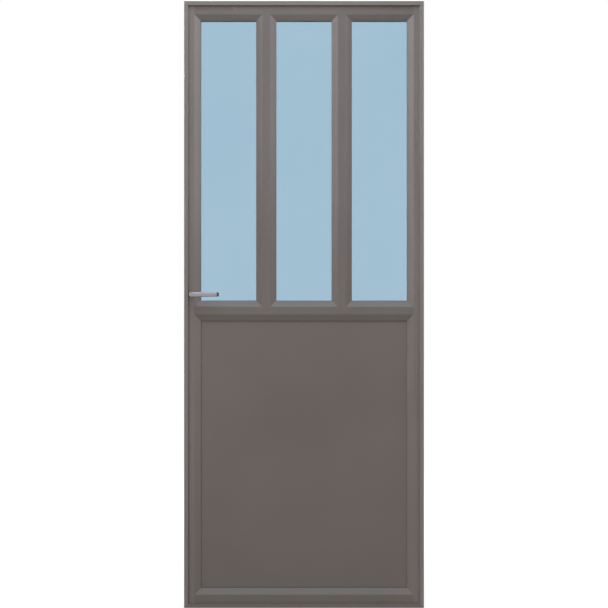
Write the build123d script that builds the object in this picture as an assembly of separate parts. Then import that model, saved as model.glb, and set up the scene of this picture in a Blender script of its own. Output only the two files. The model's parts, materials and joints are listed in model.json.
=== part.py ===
from build123d import *
import math
import os

# Glazed aluminium door leaf in its frame, in millimetres.
# X runs to the right as the front is seen, Y runs away from the viewer, Z runs up.
# The origin is the middle of the frame's underside, half way through its depth.

# Overall size of the frame
WIDTH = 830.0
HEIGHT = 2100.0

# Frame profile: a thin web round the leaf and a hollow stop in front of it
FRAME_WEB = 5.0
STOP_WIDTH = 14.0
STOP_DEPTH = 9.0
STOP_WALL = 2.0
STOP_BACK_WALL = 3.0
LEAF_GAP = 4.0
SEAL_GAP = 3.0
ARRIS_R = 1.0

# Leaf profiles: a hollow box with a bevelled leg that holds the glazing
LEAF_DEPTH = 45.0
STILE_BOX = 26.0
RAIL_BOX = 35.0
CROSS_BOX = 26.0
BEVEL_WIDTH = 22.0
BEVEL_DROP = 12.0
LEG_DEPTH = 15.0
LEAF_WALL = 2.0
NOSE_SOLID = 6.0
BEVEL_R = 5.0
NOSE_R = 0.8
MID_RAIL_HEIGHT = 1029.0
PANE_COUNT = 3

# Glazing
GASKET_THICK = 2.5
GASKET_WIDTH = 5.0
GASKET_SET_BACK = 0.6
GROOVE_WIDTH = 2.0
GROOVE_DEPTH = 1.5
GROOVE_PLAY = 0.2
GLASS_THICK = 4.0
GLASS_CAVITY = 10.0
GLASS_EDGE_GAP = 5.0
SPACER_WIDTH = 7.0
SPACER_SET_BACK = 3.0
SPACER_WALL = 0.8
BLOCK_LENGTH = 60.0
BLOCK_DEPTH = 11.0
BLOCK_FROM_CORNER = 40.0
SKIN_THICK = 1.5

# Snap-in beads on the back
BEAD_NOSE = 2.5
BEAD_WALL = 1.3
BEAD_CLIP = 1.2
BEAD_CLIP_DEPTH = 7.0
BEAD_TOE = 1.1
RIB_WIDTH = 1.5
RIB_THICK = 1.4
BEAD_PLAY = 0.3

# Joints of the frame and of the leaf
CLEAT_LEG = 34.0
CLEAT_PLAY = 0.3
CLEAT_LENGTH = 55.0
CLEAT_WALL = 3.0

# Seal between the stop and the leaf
SEAL_WIDTH = 4.4
SEAL_FROM_OPENING = 0.5
SEAL_CLEAR = 0.3
SEAL_STEM = 2.0
SEAL_STEM_DEPTH = 1.4
SEAL_ROUND = 1.5

# Fixing holes through the webs of the jambs
FIXING_R = 3.2
FIXING_HEAD_R = 6.2
FIXING_COUNT = 4
FIXING_FROM_END = 300.0
FIXING_FROM_BACK = 22.0

# Hinges
HINGE_NAMES = ("bottom", "middle", "top")
HINGE_FROM_END = 200.0
HINGE_LENGTH = 100.0
HINGE_AXIS_FROM_EDGE = 7.0
HINGE_AXIS_BEHIND = 6.5
KNUCKLE_R = 6.0
KNUCKLE_COUNT = 3
KNUCKLE_GAP = 0.4
PIN_R = 3.0
PIN_PLAY = 0.08
PIN_HEAD = 3.0
WING_THICK = 1.8
WING_WIDTH = 29.0
WING_SCREWS = 2
WING_SCREW_PITCH = 60.0
WING_SCREW_R = 2.1
WING_SCREW_HEAD_R = 3.7
WING_SCREW_LENGTH = 8.0
WING_HOLE_PLAY = 0.15

# Latch
PIVOT_HEIGHT = 1085.0
BACKSET = 15.5
SPINDLE = 7.0
SPINDLE_PLAY = 0.1
CASE_WIDTH = 16.0
CASE_WALL = 1.2
CASE_ABOVE = 42.0
CASE_BELOW = 30.0
FACEPLATE_WIDTH = 20.0
FACEPLATE_HEIGHT = 150.0
FACEPLATE_RISE = 8.0
FACEPLATE_PLAY = 0.2
CLIP_THICK = 4.0
CLIP_BEHIND_PLATE = 13.0
CLIP_BEHIND_WALL = 9.0
PLATE_SCREW_R = 2.0
PLATE_SCREW_HEAD_R = 3.6
PLATE_SCREW_LENGTH = 6.0
PLATE_SCREW_FROM_END = 6.5
LATCH_THROW = 8.0
LATCH_WIDTH = 12.0
LATCH_HEIGHT = 14.0
LATCH_BODY = 9.0
LATCH_OVER_HUB = 14.0
LATCH_PLAY = 0.3
LATCH_NOSE = 1.6
LEVER_SWING = 45.0
HUB_R = 6.4
HUB_JOURNAL_R = 5.9
HUB_FIT = 0.08
HUB_SIDE_PLAY = 0.3
ARM_WIDTH = 2.4
ARM_TIP_R = 2.0
ARM_THICK = 5.0
TAB_THICK = 2.0
FINGER_THICK = 2.2
SPRING_THICK = 0.5
SPRING_WIDTH = 7.0
SPRING_FOLDS = 6
CASE_SIDE_PLAY = 0.3

# Strike plate in the jamb
STRIKE_THICK = 1.5
STRIKE_WIDTH = 24.0
STRIKE_HEIGHT = 100.0
STRIKE_PLAY = 0.6
STRIKE_HOLE_PLAY = 1.0

# Lever handles
ROSE_R = 9.5
ROSE_HEIGHT = 7.0
ROSE_BOSS_R = 7.5
ROSE_HOLE_PLAY = 0.2
ROSE_EDGE = 1.2
NECK_R = 6.9
NECK_PLAY = 0.1
NECK_IN_ROSE = 5.5
SPINDLE_IN_NECK = 24.0
LEVER_PROJECTION = 55.0
LEVER_THICK = 10.0
LEVER_LENGTH = 92.0
LEVER_HEIGHT = 17.0
LEVER_EDGE = 2.8
LEVER_TIP_EDGE = 1.5
ELBOW_R = 13.0
NECK_EDGE = 1.2
GRUB_R = 2.0
GRUB_LENGTH = 4.0
GRUB_FROM_ROSE = 6.0

# Places worked out from the sizes above
FRAME_DEPTH = STOP_DEPTH + SEAL_GAP + LEAF_DEPTH
FRAME_FRONT = -FRAME_DEPTH / 2
FRAME_BACK = FRAME_DEPTH / 2
STOP_BACK = FRAME_FRONT + STOP_DEPTH
LEAF_FRONT = STOP_BACK + SEAL_GAP
LEAF_BACK = LEAF_FRONT + LEAF_DEPTH
LEAF_MIDDLE = (LEAF_FRONT + LEAF_BACK) / 2
EDGE = FRAME_WEB + LEAF_GAP
LEAF_X = WIDTH / 2 - EDGE
LEAF_Z0 = EDGE
LEAF_Z1 = HEIGHT - EDGE

# Depths inside the leaf, from its front face
UNIT_FRONT = LEG_DEPTH + GASKET_THICK
UNIT_THICK = 2 * GLASS_THICK + GLASS_CAVITY
UNIT_BACK = UNIT_FRONT + UNIT_THICK
BEAD_FRONT = UNIT_BACK + GASKET_THICK
RIB_BACK = BEAD_FRONT - BEAD_CLIP_DEPTH + BEAD_TOE + BEAD_PLAY + RIB_THICK

# Rebate openings, box side to box side, as (x0, x1, z0, z1)
OPENING_X = LEAF_X - STILE_BOX
UPPER_Z0 = MID_RAIL_HEIGHT + CROSS_BOX / 2
UPPER_Z1 = LEAF_Z1 - RAIL_BOX
LOWER_Z0 = LEAF_Z0 + RAIL_BOX
LOWER_Z1 = MID_RAIL_HEIGHT - CROSS_BOX / 2
PANE_FIELD = (2 * OPENING_X - (PANE_COUNT - 1) * CROSS_BOX) / PANE_COUNT
PANE_NAMES = ("left", "middle", "right")


def pane_field(index):
    """The rebate opening of one upright pane, counted from the left."""
    x0 = -OPENING_X + index * (PANE_FIELD + CROSS_BOX)
    return (x0, x0 + PANE_FIELD, UPPER_Z0, UPPER_Z1)


PANE_FIELDS = [pane_field(i) for i in range(PANE_COUNT)]
PANEL_FIELD = (-OPENING_X, OPENING_X, LOWER_Z0, LOWER_Z1)
FIELDS = PANE_FIELDS + [PANEL_FIELD]
MULLION_X = [field[1] + CROSS_BOX / 2 for field in PANE_FIELDS[:-1]]

MULLION_NAMES = ("mullion_left", "mullion_right")

# Which profiles run through past the ends of each profile, and which openings each borders
STILES = ("stile_lock", "stile_hinge")
RUN_THROUGH = {
    "stile_lock": (),
    "stile_hinge": (),
    "top_rail": STILES,
    "mid_rail": STILES,
    "bottom_rail": STILES,
    "mullion_left": ("top_rail", "mid_rail"),
    "mullion_right": ("top_rail", "mid_rail"),
}
FIELDS_BESIDE = {
    "stile_lock": (PANE_FIELDS[0], PANEL_FIELD),
    "stile_hinge": (PANE_FIELDS[-1], PANEL_FIELD),
    "top_rail": PANE_FIELDS,
    "mid_rail": FIELDS,
    "bottom_rail": (PANEL_FIELD,),
    "mullion_left": PANE_FIELDS[:2],
    "mullion_right": PANE_FIELDS[1:],
}

# Heights of the hinges and of the wall fixings, spread evenly between the two ends


def spread(count, from_end):
    """Heights spread evenly from one end of the frame to the other."""
    step = (HEIGHT - 2 * from_end) / (count - 1)
    return [from_end + i * step for i in range(count)]


HINGE_HEIGHTS = dict(zip(HINGE_NAMES, spread(len(HINGE_NAMES), HINGE_FROM_END)))
FIXING_HEIGHTS = spread(FIXING_COUNT, FIXING_FROM_END)

# Hinge axis and handle pivot
HINGE_X = WIDTH / 2 - HINGE_AXIS_FROM_EDGE
HINGE_Y = LEAF_BACK + HINGE_AXIS_BEHIND
PIVOT_X = -LEAF_X + BACKSET


def block(x0, x1, y0, y1, z0, z1):
    """A box between two values on each axis."""
    return Pos((x0 + x1) / 2, (y0 + y1) / 2, (z0 + z1) / 2) * Box(x1 - x0, y1 - y0, z1 - z0)


def outline_face(corners, rounding):
    """A flat face through corners, some of them rounded: rounding gives a radius for a corner's number."""
    face = make_face(Polyline(*corners, close=True).edges())
    for number, radius in rounding.items():
        face = fillet(face.vertices().sort_by_distance(corners[number])[0], radius)
    return face


def upright(points, z0, z1, rounding={}):
    """A prism that stands from z0 to z1, with its outline given as (x, y) points."""
    face = outline_face([(x, y, z0) for x, y in points], rounding)
    return extrude(face, amount=z1 - z0, dir=(0, 0, 1))


def level(points, x0, x1, rounding={}):
    """A prism that runs across from x0 to x1, with its outline given as (y, z) points."""
    face = outline_face([(x0, y, z) for y, z in points], rounding)
    return extrude(face, amount=x1 - x0, dir=(1, 0, 0))


def through(points, y0, y1):
    """A prism that runs from front to back, with its outline given as (x, z) points."""
    outline = Polyline(*[(x, y0, z) for x, z in points], close=True)
    return extrude(make_face(outline.edges()), amount=y1 - y0, dir=(0, 1, 0))


def rod_x(x0, x1, y, z, radius):
    """A round rod along X."""
    return Pos((x0 + x1) / 2, y, z) * Rot(0, 90, 0) * Cylinder(radius, abs(x1 - x0))


def rod_y(x, y0, y1, z, radius):
    """A round rod along Y."""
    return Pos(x, (y0 + y1) / 2, z) * Rot(90, 0, 0) * Cylinder(radius, abs(y1 - y0))


def rod_z(x, y, z0, z1, radius):
    """A round rod along Z."""
    return Pos(x, y, (z0 + z1) / 2) * Cylinder(radius, abs(z1 - z0))


def sunk_screw(radius, head_r, length):
    """A countersunk screw whose flat head lies at z = 0 and whose shank points down."""
    cone = head_r - radius
    head = Pos(0, 0, -cone / 2) * Cone(radius, head_r, cone)
    return head + Pos(0, 0, -length / 2) * Cylinder(radius, length)


def sunk_hole(radius, head_r, depth):
    """The cutter for a countersunk hole that starts at z = 0 and goes down."""
    cone = head_r - radius
    return Pos(0, 0, -cone / 2) * Cone(radius, head_r, cone) + Pos(0, 0, -depth / 2) * Cylinder(radius, depth)


def slab(field, inset, y0, y1):
    """A plate that fills a rebate opening, drawn in by an inset on all four sides."""
    x0, x1, z0, z1 = field
    return block(x0 + inset, x1 - inset, y0, y1, z0 + inset, z1 - inset)


def ring(field, inset_outer, inset_inner, y0, y1):
    """A rectangular ring that runs round inside a rebate opening."""
    return slab(field, inset_outer, y0, y1) - slab(field, inset_inner, y0, y1)


# Frame: four mitred lengths of one profile


def frame_bar(side):
    """One length of the frame, cut to 45 degrees at both ends."""
    stop = [(0, FRAME_FRONT), (STOP_WIDTH, FRAME_FRONT), (STOP_WIDTH, STOP_BACK)]
    web = [(FRAME_WEB, STOP_BACK), (FRAME_WEB, FRAME_BACK), (0, FRAME_BACK)]
    chamber = [
        (STOP_WALL, FRAME_FRONT + STOP_WALL),
        (STOP_WIDTH - STOP_WALL, FRAME_FRONT + STOP_WALL),
        (STOP_WIDTH - STOP_WALL, STOP_BACK - STOP_BACK_WALL),
        (STOP_WALL, STOP_BACK - STOP_BACK_WALL),
    ]
    groove_u = STOP_WIDTH - SEAL_FROM_OPENING - SEAL_WIDTH / 2
    half = SEAL_STEM / 2 + GROOVE_PLAY
    groove = [
        (groove_u - half, STOP_BACK - SEAL_STEM_DEPTH - GROOVE_PLAY),
        (groove_u + half, STOP_BACK - SEAL_STEM_DEPTH - GROOVE_PLAY),
        (groove_u + half, STOP_BACK),
        (groove_u - half, STOP_BACK),
    ]
    x, z = WIDTH / 2, HEIGHT
    w = STOP_WIDTH
    if side in ("left", "right"):
        sign = -1 if side == "left" else 1

        def prism(points, rounding={}):
            return upright([(sign * (x - u), y) for u, y in points], 0, HEIGHT, rounding)

        mitre = [(sign * x, 0), (sign * (x - w), w), (sign * (x - w), z - w), (sign * x, z)]
    else:
        base, up = (0, 1) if side == "sill" else (HEIGHT, -1)

        def prism(points, rounding={}):
            return level([(y, base + up * u) for u, y in points], -x, x, rounding)

        mitre = [(-x, base), (-x + w, base + up * w), (x - w, base + up * w), (x, base)]
    bar = prism(stop + web, {0: ARRIS_R, 1: ARRIS_R}) - prism(chamber) - prism(groove)
    return bar & through(mitre, FRAME_FRONT, FRAME_BACK)


def drill_fixings(jamb, sign):
    """Countersunk wall fixing holes through a jamb's web, sunk from the inner side."""
    y = FRAME_BACK - FIXING_FROM_BACK
    face = sign * (WIDTH / 2 - FRAME_WEB)
    cutter = sunk_hole(FIXING_R, FIXING_HEAD_R, FRAME_WEB)
    for z in FIXING_HEIGHTS:
        jamb -= Pos(face, y, z) * Rot(0, -sign * 90, 0) * cutter
    return jamb


def corner_cleats():
    """L-shaped cleats that fill the stop's chamber at the four mitred corners."""
    lo, hi = STOP_WALL + CLEAT_PLAY, STOP_WIDTH - STOP_WALL - CLEAT_PLAY
    y0, y1 = FRAME_FRONT + STOP_WALL, STOP_BACK - STOP_BACK_WALL
    cleats = []
    for sx in (-1, 1):
        for up in (0, 1):
            outline = [(lo, lo), (CLEAT_LEG, lo), (CLEAT_LEG, hi), (hi, hi), (hi, CLEAT_LEG), (lo, CLEAT_LEG)]
            points = [(sx * (WIDTH / 2 - a), HEIGHT - b if up else b) for a, b in outline]
            cleats.append(through(points, y0, y1))
    return cleats


def frame_seal():
    """The soft seal in the stop's groove, with a rounded face towards the leaf."""
    outer = STOP_WIDTH - SEAL_FROM_OPENING - SEAL_WIDTH
    middle = outer + SEAL_WIDTH / 2
    whole = (-WIDTH / 2, WIDTH / 2, 0, HEIGHT)
    body = ring(whole, outer, outer + SEAL_WIDTH, STOP_BACK, LEAF_FRONT - SEAL_CLEAR)
    body = fillet(body.edges().group_by(Axis.Y)[-1], SEAL_ROUND)
    stem = ring(whole, middle - SEAL_STEM / 2, middle + SEAL_STEM / 2, STOP_BACK - SEAL_STEM_DEPTH, STOP_BACK)
    return body + stem


# Leaf: hollow profiles, coped over each other's bevels


def leg_side(box):
    """The outline of a profile's glazing side, from the front face round to the back face."""
    rib_front = RIB_BACK - RIB_THICK
    return [
        (box, 0),
        (box + BEVEL_WIDTH, BEVEL_DROP),
        (box + BEVEL_WIDTH, LEG_DEPTH),
        (box, LEG_DEPTH),
        (box, rib_front),
        (box + RIB_WIDTH, rib_front),
        (box + RIB_WIDTH, RIB_BACK),
        (box, RIB_BACK),
        (box, LEAF_DEPTH),
    ]


def profile_outline(box, two_legs):
    """The closed outline of a leaf profile as (u, v): u from its edge inwards, v from front to back."""
    right = leg_side(box)
    left = [(box - u, v) for u, v in right] if two_legs else [(0, 0), (0, LEAF_DEPTH)]
    return right + left[::-1]


def profile_rounding(two_legs):
    """The radii at a leaf profile's front edges, by the number of the corner in its outline."""
    ends = len(leg_side(0))
    right = {0: BEVEL_R, 1: NOSE_R}
    left = {2 * ends - 1: BEVEL_R, 2 * ends - 2: NOSE_R} if two_legs else {ends + 1: ARRIS_R}
    return right | left


def chamber_outline(box, two_legs):
    """The hollow inside a leaf profile, one wall in from its box and its bevel."""
    slope = BEVEL_DROP / BEVEL_WIDTH
    skew_wall = LEAF_WALL * math.hypot(1, slope)
    end = BEVEL_WIDTH - NOSE_SOLID
    right = [
        (box + (LEAF_WALL - skew_wall) / slope, LEAF_WALL),
        (box + end, end * slope + skew_wall),
        (box + end, LEG_DEPTH - LEAF_WALL),
        (box - LEAF_WALL, LEG_DEPTH - LEAF_WALL),
        (box - LEAF_WALL, LEAF_DEPTH - LEAF_WALL),
    ]
    back = LEAF_DEPTH - LEAF_WALL
    left = [(box - u, v) for u, v in right] if two_legs else [(LEAF_WALL, LEAF_WALL), (LEAF_WALL, back)]
    return right + left[::-1]


def groove_outline(box):
    """The gasket groove in the back of the bevelled leg."""
    u1 = box + BEVEL_WIDTH - GASKET_SET_BACK - (GASKET_WIDTH - GROOVE_WIDTH) / 2
    u0 = u1 - GROOVE_WIDTH
    v0 = LEG_DEPTH - GROOVE_DEPTH
    return [(u0, v0), (u1, v0), (u1, LEG_DEPTH), (u0, LEG_DEPTH)]


def profile_bar(prism, box, two_legs):
    """A profile as a hollow bar and as the filled bar that its neighbours are coped over."""
    filled = prism(profile_outline(box, two_legs), profile_rounding(two_legs))
    bar = filled - prism(chamber_outline(box, two_legs)) - prism(groove_outline(box))
    if two_legs:
        bar -= prism([(box - u, v) for u, v in groove_outline(box)])
    return bar, filled


def upright_profile(edge, sign, box, two_legs, z0, z1):
    """A standing leaf profile that starts at x = edge and grows towards sign."""

    def prism(points, rounding={}):
        return upright([(edge + sign * u, LEAF_FRONT + v) for u, v in points], z0, z1, rounding)

    return profile_bar(prism, box, two_legs)


def level_profile(edge, sign, box, two_legs):
    """A lying leaf profile between the stiles' boxes, starting at z = edge and growing towards sign."""

    def prism(points, rounding={}):
        return level([(LEAF_FRONT + v, edge + sign * u) for u, v in points], -OPENING_X, OPENING_X, rounding)

    return profile_bar(prism, box, two_legs)


def groove_ring(field):
    """The gasket groove as it runs round the corners of a rebate opening."""
    inner = BEVEL_WIDTH - GASKET_SET_BACK - (GASKET_WIDTH - GROOVE_WIDTH) / 2
    y0, y1 = LEAF_FRONT + LEG_DEPTH - GROOVE_DEPTH, LEAF_FRONT + LEG_DEPTH
    return ring(field, inner - GROOVE_WIDTH, inner, y0, y1)


def leaf_profiles():
    """The seven profiles of the leaf, each as a hollow bar and as the filled bar for coping."""
    profiles = {
        "stile_lock": upright_profile(-LEAF_X, 1, STILE_BOX, False, LEAF_Z0, LEAF_Z1),
        "stile_hinge": upright_profile(LEAF_X, -1, STILE_BOX, False, LEAF_Z0, LEAF_Z1),
        "top_rail": level_profile(LEAF_Z1, -1, RAIL_BOX, False),
        "mid_rail": level_profile(LOWER_Z1, 1, CROSS_BOX, True),
        "bottom_rail": level_profile(LEAF_Z0, 1, RAIL_BOX, False),
    }
    for name, x in zip(MULLION_NAMES, MULLION_X):
        profiles[name] = upright_profile(x - CROSS_BOX / 2, 1, CROSS_BOX, True, UPPER_Z0, UPPER_Z1)
    return profiles


def coped(piece, profiles, neighbours):
    """A piece cut back to the faces of the profiles that run through beside it."""
    for name in neighbours:
        piece -= profiles[name][1]
    return piece


def leaf_bars(profiles):
    """The seven hollow bars, each coped over its neighbours and grooved for the gaskets."""
    bars = {}
    for name, (bar, _) in profiles.items():
        bar = coped(bar, profiles, RUN_THROUGH[name])
        for field in FIELDS_BESIDE[name]:
            bar -= groove_ring(field)
        bars[name] = bar
    return bars


def cleat_places():
    """Where each cleat sits in a rail: its rail's name, the end it is at, and its height range."""
    inner = LEAF_WALL + CLEAT_PLAY
    ranges = {
        "top_rail": (UPPER_Z1 + inner, LEAF_Z1 - inner),
        "mid_rail": (LOWER_Z1 + inner, UPPER_Z0 - inner),
        "bottom_rail": (LEAF_Z0 + inner, LOWER_Z0 - inner),
    }
    return [(name, sign, z0, z1) for name, (z0, z1) in ranges.items() for sign in (-1, 1)]


def cleat(x0, x1, z0, z1, along_x):
    """A short tube that fills a profile's box, open at its two ends."""
    y0, y1 = LEAF_FRONT + LEAF_WALL + CLEAT_PLAY, LEAF_BACK - LEAF_WALL - CLEAT_PLAY
    wall_x, wall_z = (0, CLEAT_WALL) if along_x else (CLEAT_WALL, 0)
    body = block(x0, x1, y0, y1, z0, z1)
    return body - block(x0 + wall_x, x1 - wall_x, y0 + CLEAT_WALL, y1 - CLEAT_WALL, z0 + wall_z, z1 - wall_z)


def leaf_cleats(profiles):
    """The crimped cleats in the ends of the rails and mullions, cut back to the profiles they butt on."""
    rail_cleats, mullion_cleats = [], []
    for name, sign, z0, z1 in cleat_places():
        x0, x1 = sorted((sign * OPENING_X, sign * (OPENING_X - CLEAT_LENGTH)))
        rail_cleats.append(coped(cleat(x0, x1, z0, z1, True), profiles, RUN_THROUGH[name]))
    half = CROSS_BOX / 2 - LEAF_WALL - CLEAT_PLAY
    for name, x in zip(MULLION_NAMES, MULLION_X):
        for z, up in ((UPPER_Z0, 1), (UPPER_Z1, -1)):
            z0, z1 = sorted((z, z + up * CLEAT_LENGTH))
            piece = cleat(x - half, x + half, z0, z1, False)
            mullion_cleats.append(coped(piece, profiles, RUN_THROUGH[name]))
    return rail_cleats, mullion_cleats


# Glazing


def at_depth(v):
    """The Y value of a depth inside the leaf."""
    return LEAF_FRONT + v


def glazing_gasket(field, on_front):
    """A gasket ring between the glass and the leg, or between the glass and the beads."""
    inner = BEVEL_WIDTH - GASKET_SET_BACK
    outer = inner - GASKET_WIDTH
    if not on_front:
        return ring(field, outer, inner, at_depth(UNIT_BACK), at_depth(BEAD_FRONT))
    side = (GASKET_WIDTH - GROOVE_WIDTH) / 2 + GROOVE_PLAY
    strip = ring(field, outer, inner, at_depth(LEG_DEPTH), at_depth(UNIT_FRONT))
    tongue_front = LEG_DEPTH - GROOVE_DEPTH + GROOVE_PLAY
    return strip + ring(field, outer + side, inner - side, at_depth(tongue_front), at_depth(LEG_DEPTH))


def spacer(field):
    """The hollow bar between the two glasses of a sealed unit."""
    outer = GLASS_EDGE_GAP + SPACER_SET_BACK
    inner = outer + SPACER_WIDTH
    y0, y1 = at_depth(UNIT_FRONT + GLASS_THICK), at_depth(UNIT_BACK - GLASS_THICK)
    wall = SPACER_WALL
    return ring(field, outer, inner, y0, y1) - ring(field, outer + wall, inner - wall, y0 + wall, y1 - wall)


def setting_blocks(field):
    """The two blocks that a unit stands on in its rebate."""
    x0, x1, z0, _ = field
    y0 = at_depth(UNIT_FRONT)
    starts = (x0 + BLOCK_FROM_CORNER, x1 - BLOCK_FROM_CORNER - BLOCK_LENGTH)
    return [block(x, x + BLOCK_LENGTH, y0, y0 + BLOCK_DEPTH, z0, z0 + GLASS_EDGE_GAP) for x in starts]


def bead_outlines():
    """A bead's outline and its hollow, as (u, v) from the box side and from the leaf's front."""
    clip0 = RIB_WIDTH + BEAD_PLAY
    clip1 = clip0 + BEAD_CLIP
    toe = BEAD_FRONT - BEAD_CLIP_DEPTH
    outline = [
        (BEAD_PLAY, BEAD_FRONT),
        (clip0, BEAD_FRONT),
        (clip0, toe + BEAD_TOE),
        (BEAD_PLAY, toe + BEAD_TOE),
        (BEAD_PLAY, toe),
        (clip1, toe),
        (clip1, BEAD_FRONT),
        (BEVEL_WIDTH, BEAD_FRONT),
        (BEVEL_WIDTH, BEAD_FRONT + BEAD_NOSE),
        (BEAD_PLAY, LEAF_DEPTH),
    ]
    slope = (LEAF_DEPTH - BEAD_FRONT - BEAD_NOSE) / (BEVEL_WIDTH - BEAD_PLAY)
    skew_wall = BEAD_WALL * math.hypot(1, slope)
    near = BEAD_PLAY + BEAD_WALL
    front = BEAD_FRONT + BEAD_WALL
    far = BEAD_PLAY + (LEAF_DEPTH - skew_wall - front) / slope
    hollow = [(near, front), (far, front), (near, LEAF_DEPTH - slope * BEAD_WALL - skew_wall)]
    return outline, hollow


def bead_bar(field, side):
    """One mitred bead on a side of a rebate opening."""
    x0, x1, z0, z1 = field
    w = BEVEL_WIDTH
    outline, hollow = bead_outlines()
    if side in ("left", "right"):
        edge, sign = (x0, 1) if side == "left" else (x1, -1)

        def prism(points):
            return upright([(edge + sign * u, at_depth(v)) for u, v in points], z0, z1)

        mitre = [(edge, z0), (edge + sign * w, z0 + w), (edge + sign * w, z1 - w), (edge, z1)]
    else:
        edge, sign = (z0, 1) if side == "bottom" else (z1, -1)

        def prism(points):
            return level([(at_depth(v), edge + sign * u) for u, v in points], x0, x1)

        mitre = [(x0, edge), (x0 + w, edge + sign * w), (x1 - w, edge + sign * w), (x1, edge)]
    bar = prism(outline) - prism(hollow)
    return bar & through(mitre, at_depth(0), at_depth(LEAF_DEPTH))


def beads(field):
    """The four beads of one rebate opening."""
    return [bead_bar(field, side) for side in ("left", "right", "bottom", "top")]


# Hinges


def knuckle_ranges(middle, own):
    """Height ranges of a hinge's knuckles: every second one belongs to each wing."""
    pitch = HINGE_LENGTH / KNUCKLE_COUNT
    z0 = middle - HINGE_LENGTH / 2
    play = KNUCKLE_GAP / 2
    return [(z0 + i * pitch + play, z0 + (i + 1) * pitch - play) for i in range(own, KNUCKLE_COUNT, 2)]


def screw_heights(middle):
    """Heights of the screws in a hinge's wing."""
    return [middle + (i - (WING_SCREWS - 1) / 2) * WING_SCREW_PITCH for i in range(WING_SCREWS)]


def hinge_wing(middle, on_frame):
    """A wing with its knuckles: on the frame's web, or on the leaf's edge."""
    face = WIDTH / 2 - FRAME_WEB if on_frame else LEAF_X
    x0, x1 = (face - WING_THICK, face) if on_frame else (face, face + WING_THICK)
    y0 = LEAF_BACK - WING_WIDTH
    z0, z1 = middle - HINGE_LENGTH / 2, middle + HINGE_LENGTH / 2
    wing = block(x0, x1, y0, LEAF_BACK, z0, z1)
    for k0, k1 in knuckle_ranges(middle, 0 if on_frame else 1):
        wing += rod_z(HINGE_X, HINGE_Y, k0, k1, KNUCKLE_R)
        wing += block(x0, x1, LEAF_BACK, HINGE_Y, k0, k1)
    wing -= rod_z(HINGE_X, HINGE_Y, z0, z1, PIN_R + PIN_PLAY)
    turn = -90 if on_frame else 90
    open_face = x0 if on_frame else x1
    cutter = sunk_hole(WING_SCREW_R + WING_HOLE_PLAY, WING_SCREW_HEAD_R + WING_HOLE_PLAY, WING_THICK)
    for z in screw_heights(middle):
        wing -= Pos(open_face, LEAF_BACK - WING_WIDTH / 2, z) * Rot(0, turn, 0) * cutter
    return wing


def wing_screws(on_frame):
    """The countersunk screws of all the wings on one side."""
    face = WIDTH / 2 - FRAME_WEB - WING_THICK if on_frame else LEAF_X + WING_THICK
    length = FRAME_WEB + WING_THICK if on_frame else WING_SCREW_LENGTH
    screw = sunk_screw(WING_SCREW_R, WING_SCREW_HEAD_R, length)
    turn = Rot(0, -90 if on_frame else 90, 0)
    heights = [z for middle in HINGE_HEIGHTS.values() for z in screw_heights(middle)]
    return [Pos(face, LEAF_BACK - WING_WIDTH / 2, z) * turn * screw for z in heights]


def drill_for_wings(bar, on_frame):
    """The screw holes under the wings, in the jamb's web or in the stile's edge wall."""
    for middle in HINGE_HEIGHTS.values():
        for z in screw_heights(middle):
            if on_frame:
                x0, x1 = WIDTH / 2 - FRAME_WEB, WIDTH / 2
            else:
                x0, x1 = LEAF_X - LEAF_WALL, LEAF_X
            bar -= rod_x(x0, x1, LEAF_BACK - WING_WIDTH / 2, z, WING_SCREW_R)
    return bar


def hinge_pins():
    """The hinges' pins, each with a flat head on top of the barrel."""
    pins = []
    for middle in HINGE_HEIGHTS.values():
        z0, z1 = middle - HINGE_LENGTH / 2, middle + HINGE_LENGTH / 2
        pin = rod_z(HINGE_X, HINGE_Y, z0, z1, PIN_R)
        pins.append(pin + rod_z(HINGE_X, HINGE_Y, z1, z1 + PIN_HEAD, KNUCKLE_R))
    return pins


# Latch in the lock stile

CASE_X0 = -LEAF_X + LEAF_WALL
CASE_X1 = -LEAF_X + STILE_BOX - LEAF_WALL - CASE_SIDE_PLAY
CASE_Y0 = LEAF_MIDDLE - CASE_WIDTH / 2
CASE_Y1 = LEAF_MIDDLE + CASE_WIDTH / 2
CASE_Z0 = PIVOT_HEIGHT - CASE_BELOW
CASE_Z1 = PIVOT_HEIGHT + CASE_ABOVE
PLATE_Z0 = PIVOT_HEIGHT + FACEPLATE_RISE - FACEPLATE_HEIGHT / 2
PLATE_Z1 = PLATE_Z0 + FACEPLATE_HEIGHT
LATCH_Z0 = PIVOT_HEIGHT + LATCH_OVER_HUB
LATCH_Z1 = LATCH_Z0 + LATCH_HEIGHT
LATCH_Z = (LATCH_Z0 + LATCH_Z1) / 2
ARM_REACH = LATCH_THROW / math.sin(math.radians(LEVER_SWING))
STRIKE_Z0 = LATCH_Z - STRIKE_HEIGHT / 2
STRIKE_Z1 = LATCH_Z + STRIKE_HEIGHT / 2


def latch_window(x0, x1, play):
    """The opening that the latch passes through."""
    half = LATCH_WIDTH / 2 + play
    return block(x0, x1, LEAF_MIDDLE - half, LEAF_MIDDLE + half, LATCH_Z0 - play, LATCH_Z1 + play)


def lock_case():
    """The case tray: open at its back, where the cover closes it."""
    case = block(CASE_X0, CASE_X1, CASE_Y0, CASE_Y1 - CASE_WALL, CASE_Z0, CASE_Z1)
    wall = CASE_WALL
    case -= block(CASE_X0 + wall, CASE_X1 - wall, CASE_Y0 + wall, CASE_Y1, CASE_Z0 + wall, CASE_Z1 - wall)
    case -= latch_window(CASE_X0, CASE_X0 + CASE_WALL, LATCH_PLAY)
    return case - rod_y(PIVOT_X, CASE_Y0, CASE_Y0 + CASE_WALL, PIVOT_HEIGHT, HUB_JOURNAL_R + HUB_FIT)


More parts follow.
